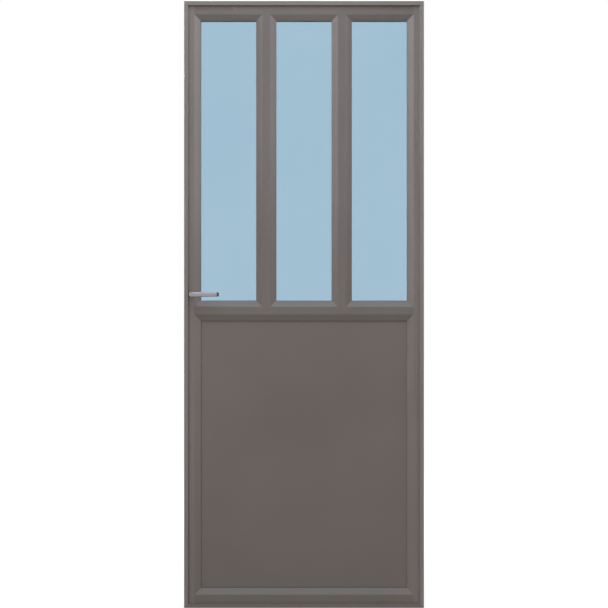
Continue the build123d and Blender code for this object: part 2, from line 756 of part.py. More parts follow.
def lock_cover():
    """The flat cover that closes the case."""
    cover = block(CASE_X0, CASE_X1, CASE_Y1 - CASE_WALL, CASE_Y1, CASE_Z0, CASE_Z1)
    return cover - rod_y(PIVOT_X, CASE_Y1 - CASE_WALL, CASE_Y1, PIVOT_HEIGHT, HUB_JOURNAL_R + HUB_FIT)


def plate_screw_heights():
    """Heights of the two screws in the faceplate."""
    return (PLATE_Z0 + PLATE_SCREW_FROM_END, PLATE_Z1 - PLATE_SCREW_FROM_END)


def faceplate():
    """The plate that lies flush in the stile's edge wall."""
    half = FACEPLATE_WIDTH / 2
    plate = block(-LEAF_X, CASE_X0, LEAF_MIDDLE - half, LEAF_MIDDLE + half, PLATE_Z0, PLATE_Z1)
    plate = fillet(plate.edges().filter_by(Axis.X), half / 2)
    plate -= latch_window(-LEAF_X, CASE_X0, LATCH_PLAY)
    cutter = sunk_hole(PLATE_SCREW_R, PLATE_SCREW_HEAD_R, LEAF_WALL)
    for z in plate_screw_heights():
        plate -= Pos(-LEAF_X, LEAF_MIDDLE, z) * Rot(0, -90, 0) * cutter
    return plate


def faceplate_screws():
    """The countersunk screws through the faceplate into the clips."""
    screw = sunk_screw(PLATE_SCREW_R, PLATE_SCREW_HEAD_R, PLATE_SCREW_LENGTH)
    return [Pos(-LEAF_X, LEAF_MIDDLE, z) * Rot(0, -90, 0) * screw for z in plate_screw_heights()]


def lock_clips():
    """The two bars behind the edge wall that the faceplate is screwed to."""
    half = FACEPLATE_WIDTH / 2
    clips = []
    for z, up in ((PLATE_Z0, 1), (PLATE_Z1, -1)):
        z0, z1 = sorted((z + up * CLIP_BEHIND_PLATE, z - up * CLIP_BEHIND_WALL))
        clip = block(CASE_X0, CASE_X0 + CLIP_THICK, LEAF_MIDDLE - half, LEAF_MIDDLE + half, z0, z1)
        screw_z = z + up * PLATE_SCREW_FROM_END
        clips.append(clip - rod_x(CASE_X0, CASE_X0 + CLIP_THICK, LEAF_MIDDLE, screw_z, PLATE_SCREW_R))
    return clips


def cut_for_lock(stile):
    """The faceplate's cut-out in the edge wall and the holes for the two roses."""
    half = FACEPLATE_WIDTH / 2 + FACEPLATE_PLAY
    z0, z1 = PLATE_Z0 - FACEPLATE_PLAY, PLATE_Z1 + FACEPLATE_PLAY
    window = block(-LEAF_X, CASE_X0, LEAF_MIDDLE - half, LEAF_MIDDLE + half, z0, z1)
    stile -= fillet(window.edges().filter_by(Axis.X), half / 2)
    return stile - rod_y(PIVOT_X, LEAF_FRONT, LEAF_BACK, PIVOT_HEIGHT, ROSE_BOSS_R + ROSE_HOLE_PLAY)


def arm_point():
    """The centre of the hub arm's round end at rest, as (x, z)."""
    swing = math.radians(LEVER_SWING)
    return PIVOT_X - ARM_REACH * math.sin(swing), PIVOT_HEIGHT + ARM_REACH * math.cos(swing)


def latch_bolt():
    """The sprung bolt: a bevelled head, and a tail with the tab that the hub's arm draws."""
    x0 = -LEAF_X - LATCH_THROW
    x1 = -LEAF_X + LATCH_BODY
    half = LATCH_WIDTH / 2
    y0, y1 = LEAF_MIDDLE - half, LEAF_MIDDLE + half
    slope_end = -LEAF_X - LATCH_PLAY
    outline = [(x0, y1 - LATCH_NOSE), (slope_end, y0), (x1, y0), (x1, y1), (x0, y1)]
    bolt = upright(outline, LATCH_Z0, LATCH_Z1)
    tab_x0 = arm_point()[0] + ARM_TIP_R + LATCH_PLAY
    tab_x1 = tab_x0 + TAB_THICK
    tab_z0 = arm_point()[1]
    side = ARM_THICK / 2
    finger_top = LATCH_Z0 + FINGER_THICK
    bolt += block(x1 - TAB_THICK, tab_x1, LEAF_MIDDLE - side, LEAF_MIDDLE + side, LATCH_Z0, finger_top)
    return bolt + block(tab_x0, tab_x1, LEAF_MIDDLE - side, LEAF_MIDDLE + side, tab_z0, finger_top)


def lock_hub():
    """The hub that the spindle turns, with the arm that draws the latch."""
    from_side = CASE_WALL + HUB_SIDE_PLAY
    hub = rod_y(PIVOT_X, CASE_Y0 + from_side, CASE_Y1 - from_side, PIVOT_HEIGHT, HUB_R)
    hub += rod_y(PIVOT_X, CASE_Y0, CASE_Y1, PIVOT_HEIGHT, HUB_JOURNAL_R)
    tip_x, tip_z = arm_point()
    y0, y1 = LEAF_MIDDLE - ARM_THICK / 2, LEAF_MIDDLE + ARM_THICK / 2
    swing = math.radians(LEVER_SWING)
    half = ARM_WIDTH / 2
    across = (half * math.cos(swing), half * math.sin(swing))
    arm = [
        (PIVOT_X - across[0], PIVOT_HEIGHT - across[1]),
        (PIVOT_X + across[0], PIVOT_HEIGHT + across[1]),
        (tip_x + across[0], tip_z + across[1]),
        (tip_x - across[0], tip_z - across[1]),
    ]
    hub += through(arm, y0, y1)
    hub += rod_y(tip_x, y0, y1, tip_z, ARM_TIP_R)
    return hub - square_bar(SPINDLE / 2 + SPINDLE_PLAY, CASE_Y0, CASE_Y1)


def latch_spring():
    """The flat zigzag spring between the bolt's back and the case's far wall."""
    x0 = -LEAF_X + LATCH_BODY
    x1 = CASE_X1 - CASE_WALL
    top, bottom = LATCH_Z1 - LATCH_PLAY, LATCH_Z0 + FINGER_THICK + LATCH_PLAY
    step = (x1 - x0) / SPRING_FOLDS
    band = SPRING_THICK * math.hypot(step, top - bottom) / step
    lower = [(x0 + i * step, top - band if i % 2 else bottom) for i in range(SPRING_FOLDS + 1)]
    upper = [(x, z + band) for x, z in lower]
    return through(lower + upper[::-1], LEAF_MIDDLE - SPRING_WIDTH / 2, LEAF_MIDDLE + SPRING_WIDTH / 2)


def strike_plate():
    """The strike, let into the jamb's web, with its window for the latch."""
    face = -WIDTH / 2 + FRAME_WEB
    half = STRIKE_WIDTH / 2
    plate = block(face - STRIKE_THICK, face, LEAF_MIDDLE - half, LEAF_MIDDLE + half, STRIKE_Z0, STRIKE_Z1)
    plate -= latch_window(face - STRIKE_THICK, face, STRIKE_PLAY)
    cutter = sunk_hole(PLATE_SCREW_R, PLATE_SCREW_R + STRIKE_THICK, STRIKE_THICK)
    for z in strike_screw_heights():
        plate -= Pos(face, LEAF_MIDDLE, z) * Rot(0, 90, 0) * cutter
    return plate


def strike_screw_heights():
    """Heights of the two screws in the strike."""
    return (STRIKE_Z0 + STRIKE_WIDTH / 2, STRIKE_Z1 - STRIKE_WIDTH / 2)


def strike_screws():
    """The countersunk screws of the strike."""
    face = -WIDTH / 2 + FRAME_WEB
    screw = sunk_screw(PLATE_SCREW_R, PLATE_SCREW_R + STRIKE_THICK, FRAME_WEB)
    return [Pos(face, LEAF_MIDDLE, z) * Rot(0, 90, 0) * screw for z in strike_screw_heights()]


def cut_for_strike(jamb):
    """The strike's pocket in the web, the latch window behind it and the screw holes."""
    outside, face = -WIDTH / 2, -WIDTH / 2 + FRAME_WEB
    half = STRIKE_WIDTH / 2
    jamb -= block(face - STRIKE_THICK, face, LEAF_MIDDLE - half, LEAF_MIDDLE + half, STRIKE_Z0, STRIKE_Z1)
    jamb -= latch_window(outside, face, STRIKE_PLAY + STRIKE_HOLE_PLAY)
    for z in strike_screw_heights():
        jamb -= rod_x(outside, face, LEAF_MIDDLE, z, PLATE_SCREW_R)
    return jamb


# Lever handles, modelled on the front and mirrored for the back

ROSE_FACE = LEAF_FRONT - ROSE_HEIGHT
NECK_END = ROSE_FACE + NECK_IN_ROSE - NECK_PLAY


def square_bar(half, y0, y1):
    """A square bar along the handle's axis, or the cutter for the hole that it fits."""
    z = PIVOT_HEIGHT
    return block(PIVOT_X - half, PIVOT_X + half, y0, y1, z - half, z + half)


def rose():
    """The slim round rose: a collar on the stile's face with a boss down to the case."""
    collar = rod_y(PIVOT_X, ROSE_FACE, LEAF_FRONT, PIVOT_HEIGHT, ROSE_R)
    rim = collar.edges().filter_by(GeomType.CIRCLE).sort_by(Axis.Y)[0]
    collar = chamfer(rim, ROSE_EDGE)
    body = collar + rod_y(PIVOT_X, LEAF_FRONT, CASE_Y0, PIVOT_HEIGHT, ROSE_BOSS_R)
    body -= rod_y(PIVOT_X, ROSE_FACE, ROSE_FACE + NECK_IN_ROSE, PIVOT_HEIGHT, NECK_R + NECK_PLAY)
    return body - rod_y(PIVOT_X, ROSE_FACE, CASE_Y0, PIVOT_HEIGHT, HUB_JOURNAL_R)


def lever():
    """The cranked lever: a flat bar with bevelled edges that turns a right angle into a round neck."""
    grip_y = LEAF_FRONT - LEVER_PROJECTION + LEVER_THICK / 2
    bend_x, bend_y = PIVOT_X + ELBOW_R, grip_y + ELBOW_R
    across = Plane(origin=(bend_x, grip_y, PIVOT_HEIGHT), x_dir=(0, 0, 1), z_dir=(1, 0, 0))
    bar = Rectangle(LEVER_HEIGHT, LEVER_THICK)
    section = across * chamfer(bar.vertices(), LEVER_EDGE)
    grip = extrude(section, amount=LEVER_LENGTH - ELBOW_R)
    grip = chamfer(grip.edges().group_by(Axis.X)[-1], LEVER_TIP_EDGE)
    elbow = revolve(section, axis=Axis((bend_x, bend_y, 0), (0, 0, -1)), revolution_arc=90)
    neck = rod_y(PIVOT_X, bend_y, NECK_END, PIVOT_HEIGHT, NECK_R)
    neck = chamfer(neck.edges().filter_by(GeomType.CIRCLE).sort_by(Axis.Y)[0], NECK_EDGE)
    body = neck + elbow + grip
    body -= square_bar(SPINDLE / 2 + SPINDLE_PLAY, NECK_END - SPINDLE_IN_NECK, NECK_END)
    return body - rod_z(PIVOT_X, grub_y(), PIVOT_HEIGHT - NECK_R, PIVOT_HEIGHT, GRUB_R)


def grub_y():
    """The depth of the grub screw in the front lever's neck."""
    return ROSE_FACE - GRUB_FROM_ROSE


def grub_screw():
    """The grub screw that holds a lever on the spindle, set in from below."""
    top = PIVOT_HEIGHT - SPINDLE / 2
    return rod_z(PIVOT_X, grub_y(), max(top - GRUB_LENGTH, PIVOT_HEIGHT - NECK_R), top, GRUB_R)


def spindle():
    """The square spindle that joins both levers through the hub."""
    y0 = NECK_END - SPINDLE_IN_NECK
    return square_bar(SPINDLE / 2, y0, 2 * LEAF_MIDDLE - y0)


def to_back(shape):
    """The mirror image of a front piece, on the back of the leaf."""
    return mirror(shape, about=Plane.XZ.offset(-LEAF_MIDDLE))


def build():
    """Every node by name, as one solid or as a list of separate solids."""
    nodes = {}
    nodes["jamb_left"] = cut_for_strike(drill_fixings(frame_bar("left"), -1))
    nodes["jamb_right"] = drill_for_wings(drill_fixings(frame_bar("right"), 1), True)
    nodes["head"] = frame_bar("head")
    nodes["sill"] = frame_bar("sill")
    nodes["corner_cleats"] = corner_cleats()
    nodes["frame_seal"] = frame_seal()
    nodes["strike_plate"] = strike_plate()
    nodes["strike_screws"] = strike_screws()

    profiles = leaf_profiles()
    bars = leaf_bars(profiles)
    bars["stile_lock"] = cut_for_lock(bars["stile_lock"])
    bars["stile_hinge"] = drill_for_wings(bars["stile_hinge"], False)
    nodes.update(bars)
    nodes["rail_cleats"], nodes["mullion_cleats"] = leaf_cleats(profiles)

    y = [at_depth(v) for v in (UNIT_FRONT, UNIT_FRONT + GLASS_THICK, UNIT_BACK - GLASS_THICK, UNIT_BACK)]
    for name, field in zip(PANE_NAMES, PANE_FIELDS):
        nodes[f"pane_front_{name}"] = slab(field, GLASS_EDGE_GAP, y[0], y[1])
        nodes[f"pane_back_{name}"] = slab(field, GLASS_EDGE_GAP, y[2], y[3])
        nodes[f"beads_{name}"] = beads(field)
    nodes["beads_panel"] = beads(PANEL_FIELD)
    nodes["spacers"] = [spacer(field) for field in PANE_FIELDS]
    nodes["setting_blocks"] = [piece for field in FIELDS for piece in setting_blocks(field)]
    nodes["gaskets_front"] = [glazing_gasket(field, True) for field in FIELDS]
    nodes["gaskets_back"] = [glazing_gasket(field, False) for field in FIELDS]
    nodes["panel_front_skin"] = slab(PANEL_FIELD, GLASS_EDGE_GAP, y[0], y[0] + SKIN_THICK)
    nodes["panel_core"] = slab(PANEL_FIELD, GLASS_EDGE_GAP, y[0] + SKIN_THICK, y[3] - SKIN_THICK)
    nodes["panel_back_skin"] = slab(PANEL_FIELD, GLASS_EDGE_GAP, y[3] - SKIN_THICK, y[3])

    for name, middle in HINGE_HEIGHTS.items():
        nodes[f"hinge_{name}_frame_wing"] = hinge_wing(middle, True)
        nodes[f"hinge_{name}_leaf_wing"] = hinge_wing(middle, False)
    nodes["hinge_pins"] = hinge_pins()
    nodes["hinge_frame_screws"] = wing_screws(True)
    nodes["hinge_leaf_screws"] = wing_screws(False)

    nodes["lock_case"] = lock_case()
    nodes["lock_cover"] = lock_cover()
    nodes["lock_faceplate"] = faceplate()
    nodes["faceplate_screws"] = faceplate_screws()
    nodes["lock_clips"] = lock_clips()
    nodes["latch_bolt"] = latch_bolt()
    nodes["latch_spring"] = latch_spring()
    nodes["lock_hub"] = lock_hub()

    nodes["rose_front"] = rose()
    nodes["rose_back"] = to_back(rose())
    nodes["lever_front"] = lever()
    nodes["lever_back"] = to_back(lever())
    nodes["spindle"] = spindle()
    nodes["grub_screws"] = [grub_screw(), to_back(grub_screw())]
    return nodes


def main():
    os.makedirs("parts", exist_ok=True)
    for name, shape in build().items():
        solids = []
        for piece in shape if isinstance(shape, list) else [shape]:
            solids.extend(piece.solids())
        export_step(solids[0] if len(solids) == 1 else Compound(children=solids), f"parts/{name}.step")


main()
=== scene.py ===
import json
import math

import bmesh
import bpy
import numpy as np
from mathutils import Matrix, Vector


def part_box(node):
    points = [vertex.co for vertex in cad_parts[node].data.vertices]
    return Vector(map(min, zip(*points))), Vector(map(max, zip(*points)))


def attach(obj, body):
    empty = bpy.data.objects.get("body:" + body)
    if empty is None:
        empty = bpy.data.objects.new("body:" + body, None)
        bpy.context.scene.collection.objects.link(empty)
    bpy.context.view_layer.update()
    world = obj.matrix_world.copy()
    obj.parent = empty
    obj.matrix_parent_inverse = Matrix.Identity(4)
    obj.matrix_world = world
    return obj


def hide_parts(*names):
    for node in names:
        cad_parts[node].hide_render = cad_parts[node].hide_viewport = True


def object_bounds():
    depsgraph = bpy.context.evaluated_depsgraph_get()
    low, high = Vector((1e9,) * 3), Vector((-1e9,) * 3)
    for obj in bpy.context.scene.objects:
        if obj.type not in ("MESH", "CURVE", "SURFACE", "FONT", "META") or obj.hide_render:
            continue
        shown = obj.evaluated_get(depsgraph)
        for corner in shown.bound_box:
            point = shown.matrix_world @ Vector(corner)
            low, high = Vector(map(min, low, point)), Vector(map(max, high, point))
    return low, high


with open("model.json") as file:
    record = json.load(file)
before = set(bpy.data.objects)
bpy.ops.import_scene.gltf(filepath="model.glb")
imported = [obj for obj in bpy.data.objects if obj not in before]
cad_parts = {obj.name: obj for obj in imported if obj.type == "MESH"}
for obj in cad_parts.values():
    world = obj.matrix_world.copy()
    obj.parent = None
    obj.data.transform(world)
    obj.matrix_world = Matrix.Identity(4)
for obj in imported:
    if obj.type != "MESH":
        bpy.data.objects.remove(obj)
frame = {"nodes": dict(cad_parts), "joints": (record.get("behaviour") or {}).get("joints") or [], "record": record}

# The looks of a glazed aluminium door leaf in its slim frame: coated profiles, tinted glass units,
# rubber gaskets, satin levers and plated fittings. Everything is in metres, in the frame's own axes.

CAD_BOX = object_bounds()

# The photograph is square-on: the door's height spans 607 of its 608 pixels and ends at the lower edge
IMAGE_PIXELS = 608
DOOR_PIXELS = 607
DOOR_DROP_PIXELS = 0.5
LENS_MM = 120.0
SENSOR_MM = 36.0

# Linear colours of the finishes
COAT_LIGHT = (0.166, 0.133, 0.116)
COAT_DARK = (0.149, 0.119, 0.104)
GLASS_TINT = (0.580, 0.714, 0.795)
GLASS_TINT_DEEP = (0.567, 0.705, 0.790)
RUBBER = (0.016, 0.016, 0.018)
RUBBER_BLOOM = (0.034, 0.034, 0.037)
GREY_RUBBER = (0.13, 0.115, 0.105)
GREY_RUBBER_BLOOM = (0.17, 0.152, 0.14)
SATIN = (0.345, 0.315, 0.33)
SATIN_DARK = (0.275, 0.25, 0.265)
ZINC = (0.52, 0.53, 0.56)
ZINC_WARM = (0.60, 0.57, 0.48)
STEEL = (0.55, 0.55, 0.56)
STEEL_DARK = (0.42, 0.42, 0.43)
MILL = (0.66, 0.665, 0.68)
MILL_DARK = (0.50, 0.505, 0.52)
FOAM = (0.70, 0.66, 0.50)
FOAM_PORE = (0.52, 0.47, 0.33)
BLOCK = (0.020, 0.021, 0.024)
BLOCK_WORN = (0.040, 0.041, 0.045)

# Painted light: the profiles round the edge get paler copies of the coat, which lift the shade that falls beside
# the frame's step; how much each copy is lifted, and its profiles
COAT_LIT_COPIES = {
    "jamb_coat": (1.30, ("jamb_left", "jamb_right", "head")),
    "stile_coat": (1.18, ("stile_lock", "stile_hinge")),
}

# The axes that brushed lines run along, and how much their noise is shrunk there, which draws it out
ALONG_X, ALONG_Z = 0, 2
BRUSH_SHRINK = 0.02

# Points nearer to each other than this are one
SAME_SPOT = 1e-7

# The lever: a round neck with a bore for the spindle, a quarter circle, a flatter grip and a thinner tip
NECK_R = 0.0069
NECK_RIM = 0.0003
BORE_R = 0.0052
BORE_DEPTH = 0.0245
ELBOW_R = 0.013
GRIP_HALF_THICK = 0.005
GRIP_HALF_HEIGHT = 0.0085
TIP_HALF_THICK = 0.0042
TIP_HALF_HEIGHT = 0.0072
TIP_CLOSE = 0.004
# Powers of the rounded oblong: 2 is an ellipse, and more is squarer
NECK_POWER = 2.0
GRIP_POWER = 2.7
# The share of the neck that stays a circle before it flattens towards the grip
NECK_STAYS_ROUND = 0.55
LEVER_SIDES = 48
NECK_RINGS, ELBOW_RINGS, GRIP_RINGS, TIP_RINGS = 11, 16, 19, 8

# The screws: where they sit from the middle of a hinge, and each set's shank and head
HINGE_SCREW_STEP = 0.03
HINGE_SHANK_R, HINGE_HEAD_R = 0.0021, 0.0037
FACEPLATE_SHANK_R, FACEPLATE_HEAD_R = 0.002, 0.0036
STRIKE_SHANK_R, STRIKE_HEAD_R = 0.002, 0.0035
SCREW_SIDES = 40
# The cross in a head: its depth as a share of the cone's, and the rest as shares of the head's radius
CROSS_DEPTH = 0.6
CROSS_HALF_WIDTH, CROSS_WALL = 0.17, 0.10
CROSS_REACH, CROSS_END = 0.62, 0.14
HEAD_EDGE_DROP = 0.04
# The rings of a head as shares of its radius, close together over the cross
HEAD_RINGS = (*np.linspace(0.0, 0.66, 12), 0.8, 0.94, 1.0)
# The thread: its pitch and its depth as shares of the shank's radius
THREAD_PITCH = 0.84
THREAD_DEPTH = 0.16
THREAD_RINGS = 30
# Each screw stops at another angle, in radians
FIRST_STOP, STOP_STEP = 0.3, 0.9

# The hinge pins
HINGES = ("bottom", "middle", "top")
PIN_R, PIN_CHAMFER = 0.003, 0.0006
PIN_HEAD_R, PIN_HEAD_EDGE = 0.006, 0.0004
PIN_HEAD_THICK, PIN_DOME = 0.0012, 0.0018
PIN_SIDES, DOME_RINGS = 48, 8

# The gaskets: a lip on each side of the glass that ends a little short of the edge of the profile's leg
LEG_WIDTH = 0.022
LIP_SET_BACK = 0.0006
LIP_WIDTH = 0.005
LIP_THICK = 0.0025
LIP_POWER = 5.0
LIP_RIBS, RIB_DEPTH, RIB_START = 3, 0.22, 0.6
LIP_POINTS = 64

# The studio: colours of the light, and levels, of which 1 renders a colour as it is written
WHITE = (1.0, 1.0, 1.0)
COOL = (0.64, 0.84, 1.0)
WARM = (1.0, 0.955, 0.92)
SIDE_BLUE = (0.68, 0.84, 1.0)
SIDE_DISTANCE = 8.0
SKY_TOP = 0.42
SKY_LOW = 0.26
SKY_LOW_AT = -0.2
WHITE_BACKGROUND = 1.0
FLOOR_COLOUR = (0.50, 0.50, 0.50)
FLOOR_GLOW_NEAR, FLOOR_NEAR = 0.68, 1.0
FLOOR_GLOW_FAR, FLOOR_FAR = 0.86, 9.0
FLOOR_REACH = 30.0
FLOOR_GAP = 0.0005


def middle_of(node):
    """The middle of a node's box."""
    low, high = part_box(node)
    return (low + high) / 2


def joint_place(name):
    """The place of a joint at rest."""
    return next(joint["pos_m"] for joint in frame["joints"] if joint["name"] == name)


def feed(tree, node, **inputs):
    """Sets the inputs of a node, or links them where the value is a socket."""
    for key, value in inputs.items():
        socket = node.inputs[key.replace("_", " ")]
        if isinstance(value, bpy.types.NodeSocket):
            tree.links.new(value, socket)
        else:
            socket.default_value = value


def add(tree, kind, settings=None, **inputs):
    """A new node with its settings made and its inputs fed."""
    made = tree.nodes.new(kind)
    for key, value in (settings or {}).items():
        setattr(made, key, value)
    feed(tree, made, **inputs)
    return made


def blank_material(name):
    """A node material with its tree and its principled shader."""
    made = bpy.data.materials.new(name)
    made.use_nodes = True
    return made, made.node_tree, made.node_tree.nodes["Principled BSDF"]


def scaled_place(tree, scale):
    """Object coordinates in metres, stretched by a scale along each axis."""
    place = add(tree, "ShaderNodeTexCoord").outputs["Object"]
    return add(tree, "ShaderNodeMapping", Vector=place, Scale=scale).outputs["Vector"]


def noise(tree, scale, detail=2.0, stretch=(1.0, 1.0, 1.0)):
    """A noise value over the surface, with features about 1/scale metres wide where nothing is stretched."""
    place = scaled_place(tree, stretch)
    return add(tree, "ShaderNodeTexNoise", Vector=place, Scale=scale, Detail=detail).outputs["Fac"]


def ramp(tree, factor, low, high, start=0.35, end=0.65):
    """A colour that goes from one linear colour to another as the factor goes from start to end."""
    made = add(tree, "ShaderNodeValToRGB", Fac=factor)
    stops = made.color_ramp.elements
    stops[0].position, stops[0].color = start, (*low, 1.0)
    stops[1].position, stops[1].color = end, (*high, 1.0)
    return made.outputs["Color"]


def span(tree, factor, low, high):
    """A value carried from the range 0 to 1 into the range low to high."""
    return add(tree, "ShaderNodeMapRange", Value=factor, To_Min=low, To_Max=high).outputs["Result"]


def about(tree, factor, middle, swing):
    """A value that swings to both sides of a middle as the factor goes from 0 to 1."""
    return span(tree, factor, middle - swing, middle + swing)


def raise_bumps(tree, shader, height, strength, relief):
    """Gives a shader a bump from a height value, with its relief in metres."""
    bump = add(tree, "ShaderNodeBump", Height=height, Strength=strength, Distance=relief)
    feed(tree, shader, Normal=bump.outputs["Normal"])


def powder_coat(name, painted_lift=1.0, roughness=0.42):
    """Matt powder coat: slow drifts of tone, a fine sandy grain and a soft sheen; a lift above 1 gives a paler
    copy that paints light in.
    """
    made, tree, shader = blank_material(name)
    light, dark = (tuple(painted_lift * value for value in colour) for colour in (COAT_LIGHT, COAT_DARK))
    drift = noise(tree, scale=2.2, detail=3.0)
    grain = noise(tree, scale=1500.0)
    feed(
        tree,
        shader,
        Base_Color=ramp(tree, drift, dark, light),
        Roughness=about(tree, grain, roughness, swing=0.08),
        Specular_IOR_Level=0.35,
    )
    raise_bumps(tree, shader, grain, strength=0.28, relief=0.00012)
    return made


def tinted_glass():
    """Body-tinted float glass with the faintest waves and smears."""
    made, tree, shader = blank_material("tinted_glass")
    drift = noise(tree, scale=1.7, detail=1.0)
    smears = noise(tree, scale=9.0, detail=3.0)
    waves = noise(tree, scale=3.0, detail=1.0)
    feed(
        tree,
        shader,
        Base_Color=ramp(tree, drift, GLASS_TINT_DEEP, GLASS_TINT),
        Roughness=span(tree, smears, low=0.0, high=0.02),
        Transmission_Weight=1.0,
        IOR=1.5,
    )
    raise_bumps(tree, shader, waves, strength=0.02, relief=0.0004)
    return made


def rubber(name, dark, bloom):
    """Gasket rubber with a paler bloom and a fine grain."""
    made, tree, shader = blank_material(name)
    cloud = noise(tree, scale=60.0, detail=3.0)
    wear = noise(tree, scale=350.0)
    grain = noise(tree, scale=900.0)
    feed(
        tree,
        shader,
        Base_Color=ramp(tree, cloud, dark, bloom),
        Roughness=about(tree, wear, middle=0.65, swing=0.10),
    )
    raise_bumps(tree, shader, grain, strength=0.2, relief=0.0001)
    return made


def brushed(name, light, dark, along, roughness, metallic=1.0):
    """Brushed metal: noise drawn out into fine lines that run along one axis."""
    made, tree, shader = blank_material(name)
    stretch = [1.0, 1.0, 1.0]
    stretch[along] = BRUSH_SHRINK
    lines = noise(tree, scale=2600.0, detail=3.0, stretch=stretch)
    feed(
        tree,
        shader,
        Base_Color=ramp(tree, lines, dark, light),
        Roughness=about(tree, lines, roughness, swing=0.07),
        Metallic=metallic,
    )
    raise_bumps(tree, shader, lines, strength=0.12, relief=0.00005)
    return made


def zinc_plate():
    """Bright zinc plating with cloudy tints."""
    made, tree, shader = blank_material("zinc_plate")
    cloud = noise(tree, scale=90.0, detail=3.0)
    wear = noise(tree, scale=700.0)
    grain = noise(tree, scale=1800.0)
    feed(
        tree,
        shader,
        Base_Color=ramp(tree, cloud, ZINC, ZINC_WARM),
        Roughness=about(tree, wear, middle=0.33, swing=0.08),
        Metallic=1.0,
    )
    raise_bumps(tree, shader, grain, strength=0.1, relief=0.00005)
    return made


def panel_foam():
    """Cut rigid foam with open pores."""
    made, tree, shader = blank_material("panel_foam")
    place = scaled_place(tree, (1.0, 1.0, 1.0))
    pores = add(tree, "ShaderNodeTexVoronoi", Vector=place, Scale=900.0).outputs["Distance"]
    feed(tree, shader, Base_Color=ramp(tree, pores, FOAM_PORE, FOAM, start=0.1, end=0.5), Roughness=0.9)
    raise_bumps(tree, shader, pores, strength=0.6, relief=0.0004)
    return made


def block_plastic():
    """Moulded plastic of the setting blocks, scuffed to grey."""
    made, tree, shader = blank_material("block_plastic")
    scuffs = noise(tree, scale=120.0, detail=4.0)
    wear = noise(tree, scale=300.0)
    grain = noise(tree, scale=800.0)
    feed(
        tree,
        shader,
        Base_Color=ramp(tree, scuffs, BLOCK, BLOCK_WORN),
        Roughness=about(tree, wear, middle=0.5, swing=0.1),
    )
    raise_bumps(tree, shader, grain, strength=0.25, relief=0.0001)
    return made


def dress_nodes():
    """Gives every CAD node the finish of its kind, and returns the finishes by their slots."""
    finishes = {
        "coat": powder_coat("taupe_coat"),
        "hinge_coat": powder_coat("hinge_coat", roughness=0.36),
        "glass": tinted_glass(),
        "seal": rubber("gasket_rubber", RUBBER, RUBBER_BLOOM),
        "mill_aluminium": brushed("mill_aluminium", MILL, MILL_DARK, ALONG_Z, roughness=0.38),
        "zinc_steel": zinc_plate(),
        "satin_steel": brushed("satin_steel", STEEL, STEEL_DARK, ALONG_Z, roughness=0.33),
        "satin_handle": brushed("satin_handle", SATIN, SATIN_DARK, ALONG_X, roughness=0.40, metallic=0.6),
        "foam": panel_foam(),
        "block_plastic": block_plastic(),
    }
    for part in frame["record"]["subparts"]:
        piece = frame["nodes"][part["node"]]
        piece.data.materials.clear()
        piece.data.materials.append(finishes[part["material_slot"]])
    # Paler copies of the coat on the jambs, head and stiles: painted light over the shade beside the frame's step.
    for name, (painted_lift, profiles) in COAT_LIT_COPIES.items():
        lit_copy = powder_coat(name, painted_lift)
        for profile in profiles:
            frame["nodes"][profile].data.materials[0] = lit_copy
    grey_seal = rubber("grey_seal_rubber", GREY_RUBBER, GREY_RUBBER_BLOOM)
    frame["nodes"]["frame_seal"].data.materials[0] = grey_seal
    return finishes


def mesh_piece(name, points, faces, finish):
    """A smooth piece made of points and faces in metres.

    Its faces point outwards: they are turned over if its volume, added up from the triple product of three
    corners of each face, comes out below 0. Points that lie on one spot, as at a pole, are then joined.
    """
    corners = points[faces[:, :3]]
    if np.einsum("ij,ij->i", corners[:, 0], np.cross(corners[:, 1], corners[:, 2])).sum() < 0:
        faces = faces[:, ::-1]
    mesh = bpy.data.meshes.new(name)
    mesh.from_pydata(points.tolist(), [], faces.tolist())
    mesh.materials.append(finish)
    mesh.polygons.foreach_set("use_smooth", [True] * len(mesh.polygons))
    work = bmesh.new()
    work.from_mesh(mesh)
    bmesh.ops.remove_doubles(work, verts=work.verts, dist=SAME_SPOT)
    work.to_mesh(mesh)
    work.free()
    made = bpy.data.objects.new(name, mesh)
    bpy.context.scene.collection.objects.link(made)
    return made


def skin_faces(rows, columns, first, closed_rows):
    """The faces of a skin: each joins a point to the next in its row and to the two above them.

    Every row is closed into a ring, and closed_rows joins the last row to the first.
    """
    row = np.arange(rows if closed_rows else rows - 1)[:, None]
    column = np.arange(columns)[None, :]
    beside, above = (column + 1) % columns, (row + 1) % rows
    here, there = row * columns, above * columns
    quads = [here + column, here + beside, there + beside, there + column]
    return first + np.stack(quads, -1).reshape(-1, 4)


def fit_piece(name, node, body, slot, finishes, sheets, closed_rows=False):
    """A piece of one or more skins, grids of points, that rides on a body in the place of a CAD node."""
    points, faces, first = [], [], 0
    for sheet in sheets:
        rows, columns, _ = sheet.shape
        points.append(sheet.reshape(-1, 3))
        faces.append(skin_faces(rows, columns, first, closed_rows))
        first += rows * columns
    made = mesh_piece(name, np.concatenate(points), np.concatenate(faces), finishes[slot])
    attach(made, body)
    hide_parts(node)


def smoothstep(x):
    """0 below 0, 1 above 1 and between them 3 times the square less twice the cube."""
    x = np.clip(x, 0.0, 1.0)
    return x * x * (3.0 - 2.0 * x)


def full_turn(count):
    """Angles that divide a full turn evenly."""
    return np.linspace(0.0, 2.0 * math.pi, count, endpoint=False)


def on_circle(radius, angle):
    """The radius times the cosine and times the sine of an angle."""
    return radius * np.cos(angle), radius * np.sin(angle)


def round_section(angle, half_width, half_height, power):
    """A rounded oblong: half sizes times cosine and sine, each raised to 2 over a power."""
    c, s = np.cos(angle), np.sin(angle)
    return (
        half_width * np.sign(c) * np.abs(c) ** (2.0 / power),
        half_height * np.sign(s) * np.abs(s) ** (2.0 / power),
    )


def lever_lengths():
    """The lengths of the lever's neck, elbow and grip along its middle line."""
    low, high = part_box("lever_front")
    neck = high.y - NECK_RIM - (low.y + GRIP_HALF_THICK + ELBOW_R)
    grip = high.x - (joint_place("lever_turn")[0] + ELBOW_R)
    return neck, ELBOW_R * math.pi / 2, grip


